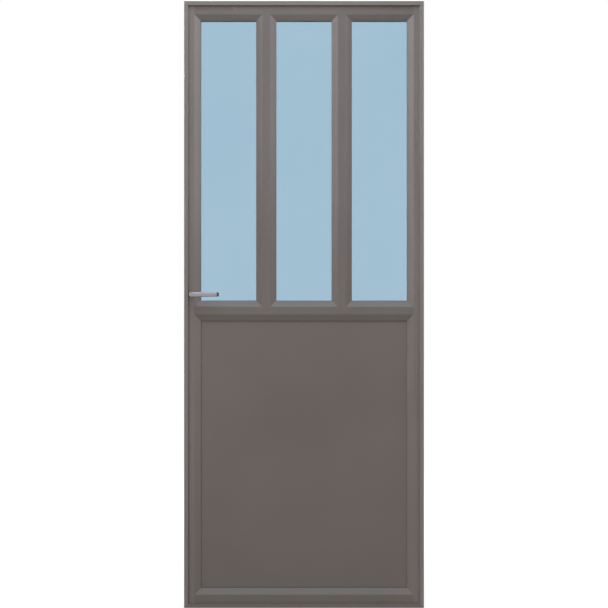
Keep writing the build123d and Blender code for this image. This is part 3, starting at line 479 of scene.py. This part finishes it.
def lever_way(neck, elbow, grip):
    """How far along the lever its rings lie: in even steps, and in the tip by the sine of even angles."""
    tip_start = neck + elbow + grip - TIP_CLOSE
    quarter = np.linspace(0.0, math.pi / 2, TIP_RINGS + 1)
    stretches = (
        np.linspace(0.0, neck, NECK_RINGS + 1),
        np.linspace(neck, neck + elbow, ELBOW_RINGS + 1),
        np.linspace(neck + elbow, tip_start, GRIP_RINGS + 1),
        tip_start + TIP_CLOSE * np.sin(quarter),
    )
    return np.concatenate([stretch[1:] for stretch in stretches])[:, None]


def lever_body(turn):
    """The front lever as a function of the way along it and of the angle round it.

    The middle line runs along the neck, round a quarter circle and along the grip. The section's half sizes
    are mixed by a smooth step from the neck's circle to the grip's rounded oblong, then shrink in a straight
    line to the tip, and in its last stretch by the root of 1 less the square of the way into it.
    """
    neck, elbow, grip = lever_lengths()
    way = lever_way(neck, elbow, grip)
    to_grip = smoothstep((way - neck * NECK_STAYS_ROUND) / (elbow + neck * (1.0 - NECK_STAYS_ROUND)))
    along = np.clip((way - neck - elbow) / grip, 0.0, 1.0)
    into_tip = np.clip((way - (neck + elbow + grip - TIP_CLOSE)) / TIP_CLOSE, 0.0, 1.0)
    half_width, half_height = (
        NECK_R + (at_grip - NECK_R) * to_grip - (at_grip - at_tip) * along
        for at_grip, at_tip in ((GRIP_HALF_THICK, TIP_HALF_THICK), (GRIP_HALF_HEIGHT, TIP_HALF_HEIGHT))
    )
    shrink = np.sqrt(np.clip(1.0 - into_tip**2, 0.0, 1.0))
    power = NECK_POWER + (GRIP_POWER - NECK_POWER) * to_grip
    u, v = round_section(turn, half_width * shrink, half_height * shrink, power)
    pivot_x, _, pivot_z = joint_place("lever_turn")
    neck_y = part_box("lever_front")[1].y - NECK_RIM
    angle = np.clip((way - neck) / ELBOW_R, 0.0, math.pi / 2)
    line_x = pivot_x + ELBOW_R * (1.0 - np.cos(angle)) + np.maximum(way - neck - elbow, 0.0)
    line_y = neck_y - np.minimum(way, neck) - ELBOW_R * np.sin(angle)
    return np.stack([line_x + u * np.cos(angle), line_y + u * np.sin(angle), pivot_z + v], -1)


def neck_rings(turn):
    """The circles that start the front lever: the bore's bottom and wall, the neck's end and its rims."""
    pivot_x, _, pivot_z = joint_place("lever_turn")
    neck_end_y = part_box("lever_front")[1].y
    radius_and_depth = (
        (0.0, BORE_DEPTH),
        (BORE_R, BORE_DEPTH),
        (BORE_R, NECK_RIM),
        (BORE_R + NECK_RIM, 0.0),
        (NECK_R - NECK_RIM, 0.0),
        (NECK_R, NECK_RIM),
    )
    radius, depth = np.array(radius_and_depth).T[:, :, None]
    x, z = on_circle(radius, turn)
    return np.stack([pivot_x + x, neck_end_y - depth + 0 * turn, pivot_z + z], -1)


def sculpt_levers(finishes):
    """Both levers as smooth skins, the back one mirrored in the plane midway between the levers' grips."""
    turn = full_turn(LEVER_SIDES)[None, :]
    front = np.concatenate([neck_rings(turn), lever_body(turn)])
    both_sides_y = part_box("lever_front")[0].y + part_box("lever_back")[1].y
    back = front * (1.0, -1.0, 1.0) + (0.0, both_sides_y, 0.0)
    for side, grid in (("front", front), ("back", back)):
        fit_piece(f"lever_{side}_skin", f"lever_{side}", "lever", "satin_handle", finishes, [grid])


def screw_head(turn, cone, head_r):
    """The top of a countersunk head as a function of the radius and of the angle round it.

    It sinks where the smaller of the two distances to a cross is under the cross's half width, as far out as
    the cross reaches, with a smooth step for each wall. Its rim stands a little lower than its middle.
    """
    r, angle = np.meshgrid(head_r * np.array(HEAD_RINGS), turn, indexing="ij")
    x, y = on_circle(r, angle)
    off_axis = np.minimum(np.abs(x), np.abs(y))
    arm = smoothstep((CROSS_HALF_WIDTH * head_r - off_axis) / (CROSS_WALL * head_r))
    reach = smoothstep((CROSS_REACH * head_r - r) / (CROSS_END * head_r))
    head = np.stack([x, y, -CROSS_DEPTH * cone * arm * reach], -1)
    head[-1, :, 2] = -HEAD_EDGE_DROP * head_r
    return head


def screw_shank(turn, cone, shank_r, length):
    """A threaded shank as a function of the way along it and of the angle round it.

    Its radius shrinks by a wave, the cosine of the angle less a full turn for every pitch, which fades out
    by a smooth step at both ends of the shank.
    """
    pitch = THREAD_PITCH * shank_r
    z, angle = np.meshgrid(np.linspace(cone, length, THREAD_RINGS), turn, indexing="ij")
    fade = smoothstep((z - cone) / (pitch / 2)) * smoothstep((length - z) / (pitch / 2))
    wave = 0.5 - 0.5 * np.cos(angle - 2.0 * math.pi * z / pitch)
    x, y = on_circle(shank_r * (1.0 - THREAD_DEPTH * wave * fade), angle)
    return np.stack([x, y, -z], -1)


def cut_screws(node, body, facing, shank_r, head_r, heights, finishes):
    """A node's countersunk screws, with crosses and threads, set along X.

    Their heads face the low side of the node's box where facing is -1, and its high side where it is 1.
    """
    low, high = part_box(node)
    length = high.x - low.x
    face_x = high.x if facing > 0 else low.x
    middle_y = (low.y + high.y) / 2
    turn = full_turn(SCREW_SIDES)
    cone = head_r - shank_r
    end = np.full((1, SCREW_SIDES, 3), (0.0, 0.0, -length))
    grid = np.concatenate([screw_head(turn, cone, head_r), screw_shank(turn, cone, shank_r, length), end])
    sheets = []
    for number, height in enumerate(heights):
        stop = FIRST_STOP + STOP_STEP * number
        c, s = math.cos(stop), math.sin(stop)
        y = middle_y + grid[..., 0] * c - grid[..., 1] * s
        z = height + grid[..., 0] * s + grid[..., 1] * c
        sheets.append(np.stack([face_x + facing * grid[..., 2], y, z], -1))
    fit_piece(f"{node}_cut", node, body, "zinc_steel", finishes, sheets)


def cut_hinge_screws(finishes):
    """The hinges' screws, one a step below and one a step above the middle of each hinge."""
    middles = [middle_of(f"hinge_{hinge}_frame_wing").z for hinge in HINGES]
    heights = [z + step for z in middles for step in (-HINGE_SCREW_STEP, HINGE_SCREW_STEP)]
    for node, body, facing in (("hinge_frame_screws", "frame", -1), ("hinge_leaf_screws", "leaf", 1)):
        cut_screws(node, body, facing, HINGE_SHANK_R, HINGE_HEAD_R, heights, finishes)


def cut_plate_screws(finishes):
    """The screws of the faceplate and the strike plate, one at each end of their node's box."""
    plates = (
        ("faceplate_screws", "leaf", -1, FACEPLATE_SHANK_R, FACEPLATE_HEAD_R),
        ("strike_screws", "frame", 1, STRIKE_SHANK_R, STRIKE_HEAD_R),
    )
    for node, body, facing, shank_r, head_r in plates:
        low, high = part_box(node)
        cut_screws(node, body, facing, shank_r, head_r, (low.z + head_r, high.z - head_r), finishes)


def pin_outline(bottom, top):
    """A hinge pin's radius and height: a chamfered end, the shank, the head's chamfered edge and its dome.

    The dome is a quarter ellipse: the head's radius times a cosine and the dome's height times a sine.
    """
    shank = [(0.0, bottom), (PIN_R - PIN_CHAMFER, bottom), (PIN_R, bottom + PIN_CHAMFER), (PIN_R, top)]
    edge = [(PIN_HEAD_R - PIN_HEAD_EDGE, top), (PIN_HEAD_R, top + PIN_HEAD_EDGE)]
    quarter = np.linspace(0.0, math.pi / 2, DOME_RINGS, endpoint=False)
    dome_z = top + PIN_HEAD_THICK
    dome = np.column_stack([PIN_HEAD_R * np.cos(quarter), dome_z + PIN_DOME * np.sin(quarter)])
    return np.concatenate([shank, edge, dome, [(0.0, dome_z + PIN_DOME)]])


def turn_pins(finishes):
    """The hinge pins, each its outline turned round the hinge's axis, along the barrel of its frame wing."""
    axis_x, axis_y, _ = joint_place("leaf_hinge")
    turn = full_turn(PIN_SIDES)
    sheets = []
    for hinge in HINGES:
        low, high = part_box(f"hinge_{hinge}_frame_wing")
        radius, z = pin_outline(low.z, high.z).T[:, :, None]
        x, y = on_circle(radius, turn)
        sheets.append(np.stack([axis_x + x, axis_y + y, z + 0 * turn], -1))
    fit_piece("hinge_pins_turned", "hinge_pins", "frame", "zinc_steel", finishes, sheets)


def lip_outline(u0, u1, y0, y1):
    """A gasket's section: a rounded oblong with ribs on its two faces.

    The ribs are a cosine wave across the width that takes up to a share of the thickness away, by a smooth
    step only near the two faces.
    """
    width, half_thick = u1 - u0, (y1 - y0) / 2
    u, y = round_section(full_turn(LIP_POINTS), width / 2, half_thick, LIP_POWER)
    ribs = RIB_DEPTH * (0.5 - 0.5 * np.cos(2.0 * math.pi * LIP_RIBS * (u / width + 0.5)))
    near_face = smoothstep((np.abs(y) / half_thick - RIB_START) / (1.0 - RIB_START))
    return (u0 + u1) / 2 + u, (y0 + y1) / 2 + y * (1.0 - ribs * near_face)


def openings():
    """The openings for the panes and the panel, box side to box side, as (x0, x1, z0, z1).

    A profile's leg reaches over the opening beside it. The rails are as long as the openings' outer sides
    are apart, and the mullions as long as the panes' openings are high.
    """
    rail_low, rail_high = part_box("mid_rail")
    mullions = [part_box(f"mullion_{side}") for side in ("left", "right")]
    bottom, top = (corner.z for corner in mullions[0])
    starts = [rail_low.x] + [high.x - LEG_WIDTH for _, high in mullions]
    ends = [low.x + LEG_WIDTH for low, _ in mullions] + [rail_high.x]
    panes = [(start, end, bottom, top) for start, end in zip(starts, ends)]
    panel = (rail_low.x, rail_high.x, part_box("bottom_rail")[1].z - LEG_WIDTH, rail_low.z + LEG_WIDTH)
    return [*panes, panel]


def ring_grid(opening, u, y):
    """A section carried round an opening: at each corner its points lie inwards by u along both axes."""
    x0, x1, z0, z1 = opening
    corners = [(x0, z0, 1, 1), (x1, z0, -1, 1), (x1, z1, -1, -1), (x0, z1, 1, -1)]
    return np.stack([np.stack([x + sx * u, y, z + sz * u], -1) for x, z, sx, sz in corners])


def press_gaskets(finishes):
    """The gaskets as ribbed strips that run round the glass units and the panel, front and back."""
    inner = LEG_WIDTH - LIP_SET_BACK
    glass_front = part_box("pane_front_left")[0].y
    glass_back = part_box("pane_back_left")[1].y
    for node, y0 in (("gaskets_front", glass_front - LIP_THICK), ("gaskets_back", glass_back)):
        u, y = lip_outline(inner - LIP_WIDTH, inner, y0, y0 + LIP_THICK)
        sheets = [ring_grid(opening, u, y) for opening in openings()]
        fit_piece(f"{node}_lip", node, "leaf", "seal", finishes, sheets, closed_rows=True)


def white_for_the_eye(tree):
    """A value that is 1 where the ray comes from the camera, a gloss or a pane, and else 0."""
    path = add(tree, "ShaderNodeLightPath")
    total = path.outputs["Is Camera Ray"]
    for name in ("Is Glossy Ray", "Is Transmission Ray"):
        joined = add(tree, "ShaderNodeMath", {"operation": "MAXIMUM"})
        tree.links.new(total, joined.inputs[0])
        tree.links.new(path.outputs[name], joined.inputs[1])
        total = joined.outputs["Value"]
    return total


def studio_world():
    """Soft light that is stronger from above, with a white background behind the door."""
    world = bpy.data.worlds.new("studio")
    bpy.context.scene.world = world
    world.use_nodes = True
    tree = world.node_tree
    tree.nodes.clear()
    direction = add(tree, "ShaderNodeTexCoord").outputs["Generated"]
    height = add(tree, "ShaderNodeSeparateXYZ", Vector=direction).outputs["Z"]
    level = add(tree, "ShaderNodeMapRange", Value=height, From_Min=SKY_LOW_AT, To_Min=SKY_LOW, To_Max=SKY_TOP)
    sky = add(tree, "ShaderNodeBackground", Color=(*WHITE, 1.0), Strength=level.outputs["Result"])
    white = add(tree, "ShaderNodeBackground", Color=(*WHITE, 1.0), Strength=WHITE_BACKGROUND)
    mixed = add(tree, "ShaderNodeMixShader", Fac=white_for_the_eye(tree))
    tree.links.new(sky.outputs[0], mixed.inputs[1])
    tree.links.new(white.outputs[0], mixed.inputs[2])
    add(tree, "ShaderNodeOutputWorld", Surface=mixed.outputs[0])


def floor_material():
    """A pale floor that the camera sees as white where no shadow falls on it.

    Its glow grows from near the door to far away by as much as the lamps' light falls off there.
    """
    made, tree, shader = blank_material("pale_floor")
    tree.nodes.remove(shader)
    diffuse = add(tree, "ShaderNodeBsdfDiffuse", Color=(*FLOOR_COLOUR, 1.0))
    flat_place = scaled_place(tree, (1.0, 1.0, 0.0))
    distance = add(tree, "ShaderNodeVectorMath", {"operation": "LENGTH"}, Vector=flat_place)
    lift = add(
        tree,
        "ShaderNodeMapRange",
        {"interpolation_type": "SMOOTHSTEP"},
        Value=distance.outputs["Value"],
        From_Min=FLOOR_NEAR,
        From_Max=FLOOR_FAR,
        To_Min=FLOOR_GLOW_NEAR,
        To_Max=FLOOR_GLOW_FAR,
    )
    glow_level = add(tree, "ShaderNodeMath", {"operation": "MULTIPLY"})
    tree.links.new(white_for_the_eye(tree), glow_level.inputs[0])
    tree.links.new(lift.outputs["Result"], glow_level.inputs[1])
    glow = add(tree, "ShaderNodeEmission", Strength=glow_level.outputs["Value"])
    both = add(tree, "ShaderNodeAddShader")
    tree.links.new(diffuse.outputs[0], both.inputs[0])
    tree.links.new(glow.outputs[0], both.inputs[1])
    end = next(node for node in tree.nodes if node.type == "OUTPUT_MATERIAL")
    feed(tree, end, Surface=both.outputs[0])
    return made


def lay_floor():
    """A wide flat floor under the door."""
    z = CAD_BOX[0].z - FLOOR_GAP
    corners = [(sx * FLOOR_REACH, sy * FLOOR_REACH, z) for sx, sy in ((-1, -1), (1, -1), (1, 1), (-1, 1))]
    mesh = bpy.data.meshes.new("studio_floor")
    mesh.from_pydata(corners, [], [(0, 1, 2, 3)])
    mesh.materials.append(floor_material())
    floor = bpy.data.objects.new("studio_floor", mesh)
    bpy.context.scene.collection.objects.link(floor)


def softbox(name, place, target, size, glow, colour=WHITE, spread=180.0, mirrored=False):
    """A rectangular lamp at a place, turned to a target, as bright to look at as glow times white.

    A small spread, in degrees, keeps its light near its axis. Only a mirrored lamp shows, and is reflected;
    any other lights the surfaces without a bright patch in the glass.
    """
    lamp = bpy.data.lights.new(name, "AREA")
    lamp.shape = "RECTANGLE"
    lamp.size, lamp.size_y = size
    lamp.energy = glow * math.pi * size[0] * size[1]
    lamp.color = colour
    lamp.spread = math.radians(spread)
    made = bpy.data.objects.new(name, lamp)
    made.visible_camera = mirrored
    made.visible_glossy = mirrored
    made.visible_transmission = mirrored
    made.location = place
    made.rotation_euler = (Vector(target) - Vector(place)).to_track_quat("-Z", "Y").to_euler()
    bpy.context.scene.collection.objects.link(made)


def place_lights():
    """Softboxes: large ones above, in front and behind, and a small grazing one at each side."""
    softbox(
        "softbox_above",
        place=(-0.4, -2.5, 4.4),
        target=(0.0, 0.0, 1.3),
        size=(4.2, 2.6),
        glow=3.3,
        colour=COOL,
        mirrored=True,
    )
    softbox(
        "softbox_front",
        place=(-2.2, -7.2, 1.9),
        target=(0.0, 0.0, 0.9),
        size=(3.6, 3.0),
        glow=3.7,
        colour=WARM,
    )
    for side, x in (("left", -SIDE_DISTANCE), ("right", SIDE_DISTANCE)):
        softbox(
            f"softbox_{side}",
            place=(x, -0.5, 2.1),
            target=(0.0, 0.0, 2.1),
            size=(0.8, 0.9),
            glow=5.2,
            colour=SIDE_BLUE,
            spread=18.0,
        )
    softbox(
        "softbox_back",
        place=(0.8, 4.0, 3.8),
        target=(0.0, 0.0, 1.1),
        size=(4.2, 2.6),
        glow=3.0,
    )


def place_camera():
    """A long lens square on to the front, with the door's height filling the picture."""
    low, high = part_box("jamb_left")
    seen = (high.z - low.z) * IMAGE_PIXELS / DOOR_PIXELS
    distance = seen * LENS_MM / SENSOR_MM
    drop = seen * DOOR_DROP_PIXELS / IMAGE_PIXELS
    data = bpy.data.cameras.new("camera")
    data.lens = LENS_MM
    data.sensor_width = SENSOR_MM
    camera = bpy.data.objects.new("camera", data)
    camera.location = (0.0, low.y - distance, (low.z + high.z) / 2 + drop)
    camera.rotation_euler = (math.pi / 2, 0.0, 0.0)
    bpy.context.scene.collection.objects.link(camera)
    bpy.context.scene.camera = camera


finishes = dress_nodes()
sculpt_levers(finishes)
cut_hinge_screws(finishes)
cut_plate_screws(finishes)
turn_pins(finishes)
press_gaskets(finishes)
lay_floor()
studio_world()
place_lights()
place_camera()
bpy.context.scene.view_settings.view_transform = "Standard"
